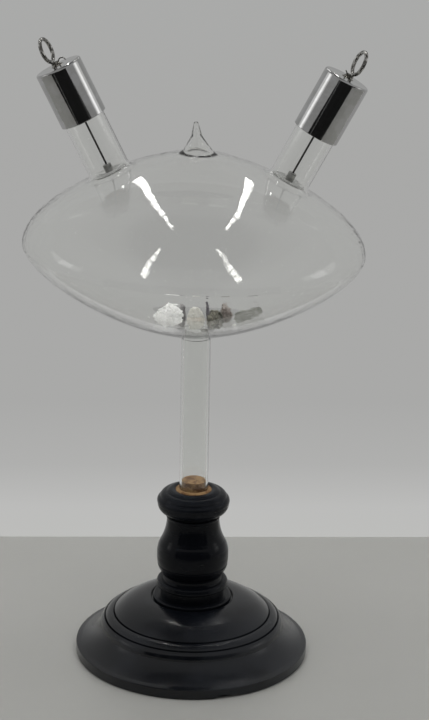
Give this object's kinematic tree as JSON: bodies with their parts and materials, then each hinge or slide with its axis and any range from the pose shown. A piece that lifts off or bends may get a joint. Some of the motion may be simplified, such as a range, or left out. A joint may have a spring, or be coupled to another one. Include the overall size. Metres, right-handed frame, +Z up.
{
  "type": "gas discharge tube on stand",
  "caption": "Flattened blown glass bulb with slanting capped electrode arms, an exhaust tip and loose mineral stones, cemented by its glass stem in a turned black stand.",
  "frame": {"origin": "centre of the foot's flat underside", "axes": "+Z up along the glass stem; +X towards the right-hand arm as seen from the front; the front is -Y"},
  "size_m": [0.172, 0.172, 0.3249],
  "materials": {
    "glass": "polished clear blown glass",
    "ebonised_wood": "ebonised and polished",
    "cement": "orange-brown, mottled and matt",
    "plated_cap": "nickel plated and polished",
    "wire": "drawn",
    "disc": "spun",
    "eye_wire": "tinned wire",
    "solder": "dull tin",
    "white_mineral": "rough crystalline",
    "grey_mineral": "cleaved, slightly translucent",
    "beige_mineral": "waxy, slightly translucent",
    "dark_mineral": "splintered",
    "green_mineral": "striated",
    "pink_mineral": "rough",
    "clear_mineral": "clear, striated prism"
  },
  "bodies": {
    "tube_and_stand": {"foot": "ebonised_wood", "pillar": "ebonised_wood", "stem_cement": "cement", "glass_stem": "glass", "glass_bulb": "glass", "left_cap": "plated_cap", "left_cap_cement": "cement", "left_seal_bead": "glass", "left_lead_wire": "wire", "left_electrode_hub": "wire", "left_electrode_disc": "disc", "left_terminal_eye": "eye_wire", "left_solder": "solder", "left_wire_tail": "wire", "right_cap": "plated_cap", "right_cap_cement": "cement", "right_seal_bead": "glass", "right_lead_wire": "wire", "right_electrode_hub": "wire", "right_electrode_disc": "disc", "right_terminal_eye": "eye_wire", "right_solder": "solder", "right_wire_tail": "wire"},
    "stones": {"white_stone": "white_mineral", "grey_blade": "grey_mineral", "beige_stone": "beige_mineral", "thin_shard": "grey_mineral", "dark_splinter": "dark_mineral", "green_stone": "green_mineral", "pink_stone": "pink_mineral", "white_chip": "white_mineral", "clear_prism": "clear_mineral"}
  },
  "joints": [
    {"name": "stones_swirl", "type": "hinge", "parent": "tube_and_stand", "child": "stones", "pos_m": [-0.0017, 0, 0.22095], "axis": [0.0297, 0, 0.9996], "continuous": true}
  ]
}
